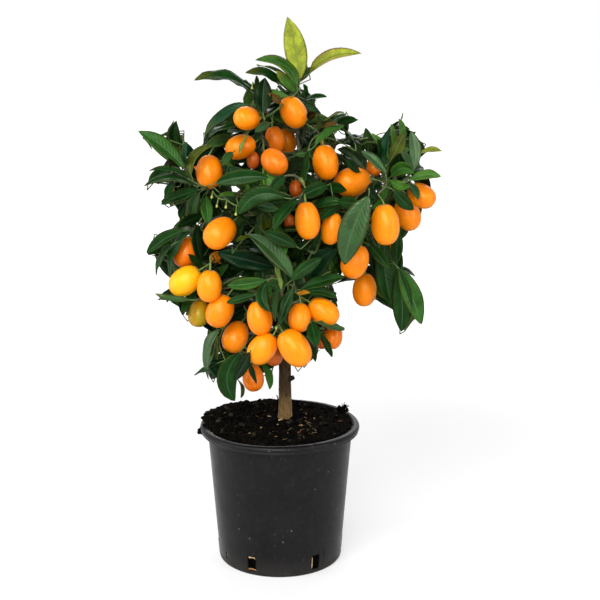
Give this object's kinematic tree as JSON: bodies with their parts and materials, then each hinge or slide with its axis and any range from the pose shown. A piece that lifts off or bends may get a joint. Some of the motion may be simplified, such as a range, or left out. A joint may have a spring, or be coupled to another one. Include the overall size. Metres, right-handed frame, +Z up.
{
  "type": "potted kumquat tree",
  "caption": "Small potted kumquat tree: round tapered grower's pot filled with soil, one upright trunk that forks into boughs, and an open, uneven leafy crown.",
  "frame": {"origin": "centre of the pot's flat underside", "axes": "+Z up along the pot's axis, -Y towards the viewer, +X to the viewer's right"},
  "size_m": [0.3461, 0.304, 0.635],
  "materials": {
    "pot": "matt black moulded plastic",
    "soil": "moist dark potting soil",
    "bark": "grey-brown bark",
    "foliage": "glossy dark green leaves"
  },
  "bodies": {
    "root": {"bough_back_left": "bark", "bough_back_low": "bark", "bough_back_right": "bark", "bough_centre": "bark", "bough_crown_back": "bark", "bough_crown_left": "bark", "bough_crown_right": "bark", "bough_leader": "bark", "bough_left_low": "bark", "bough_left_shoulder": "bark", "bough_left_waist": "bark", "bough_middle_low": "bark", "bough_right_hanging": "bark", "bough_right_shoulder": "bark", "bough_right_waist": "bark", "bough_skirt_left": "bark", "bough_skirt_right": "bark", "foliage_back_left": "foliage", "foliage_back_low": "foliage", "foliage_back_right": "foliage", "foliage_centre": "foliage", "foliage_crown_back": "foliage", "foliage_crown_left": "foliage", "foliage_crown_right": "foliage", "foliage_left_low": "foliage", "foliage_left_shoulder": "foliage", "foliage_left_waist": "foliage", "foliage_middle_low": "foliage", "foliage_right_hanging": "foliage", "foliage_right_shoulder": "foliage", "foliage_right_waist": "foliage", "foliage_skirt_left": "foliage", "foliage_skirt_right": "foliage", "foliage_tip": "foliage", "pot": "pot", "soil": "soil", "trunk": "bark"}
  },
  "joints": []
}
